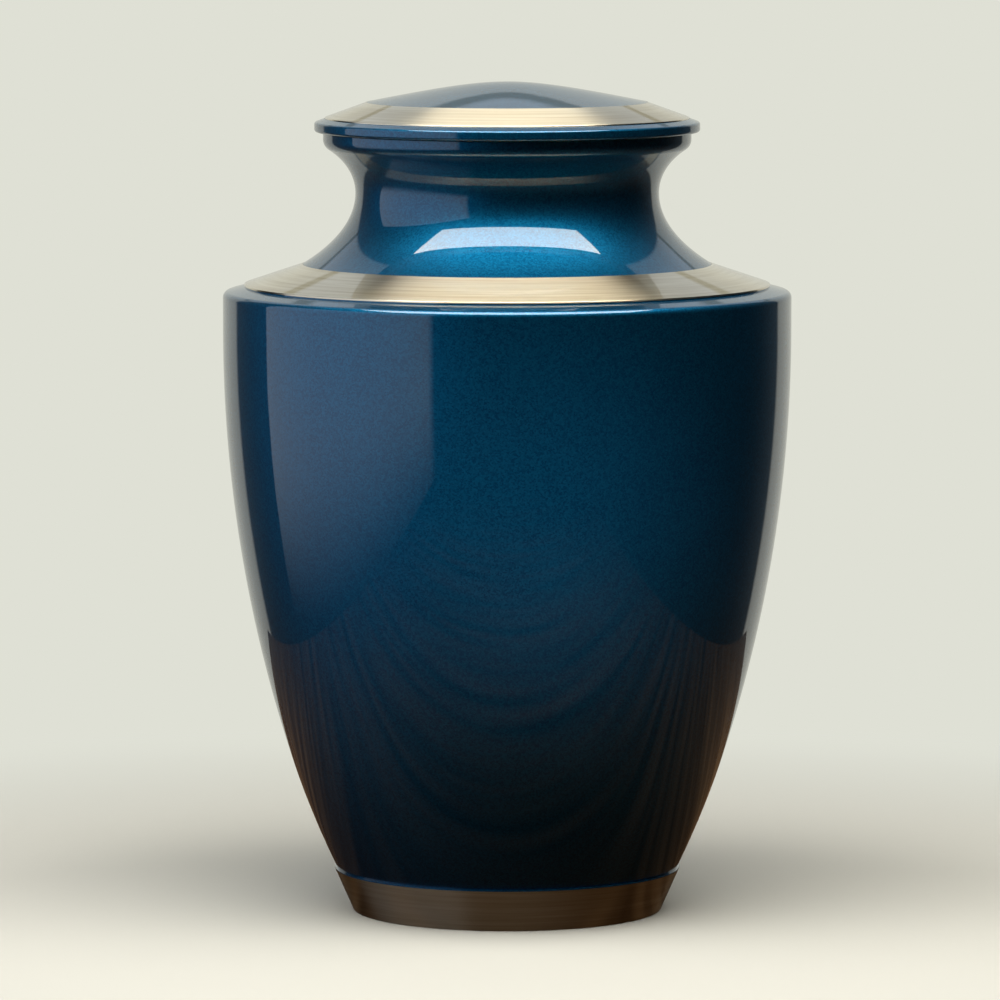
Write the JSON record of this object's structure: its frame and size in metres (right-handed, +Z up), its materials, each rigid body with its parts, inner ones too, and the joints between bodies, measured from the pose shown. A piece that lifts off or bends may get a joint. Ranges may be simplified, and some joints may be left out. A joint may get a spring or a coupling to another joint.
{
  "type": "funeral urn",
  "caption": "Painted brass funeral urn with a flared neck, a collared mouth, brushed metal bands and a shallow domed lift-off lid; hollow inside.",
  "frame": {"origin": "centre of the foot's underside, on the surface that the urn stands on", "axes": "+Z up along the urn's axis of turning; every direction around it is alike"},
  "size_m": [0.1738, 0.1738, 0.2543],
  "materials": {
    "blue_paint": "gloss",
    "brushed_band": "satin"
  },
  "bodies": {
    "root": {"urn_body": "blue_paint", "foot_band": "brushed_band", "shoulder_band": "brushed_band", "lid": "blue_paint", "lid_band": "brushed_band"}
  },
  "joints": []
}
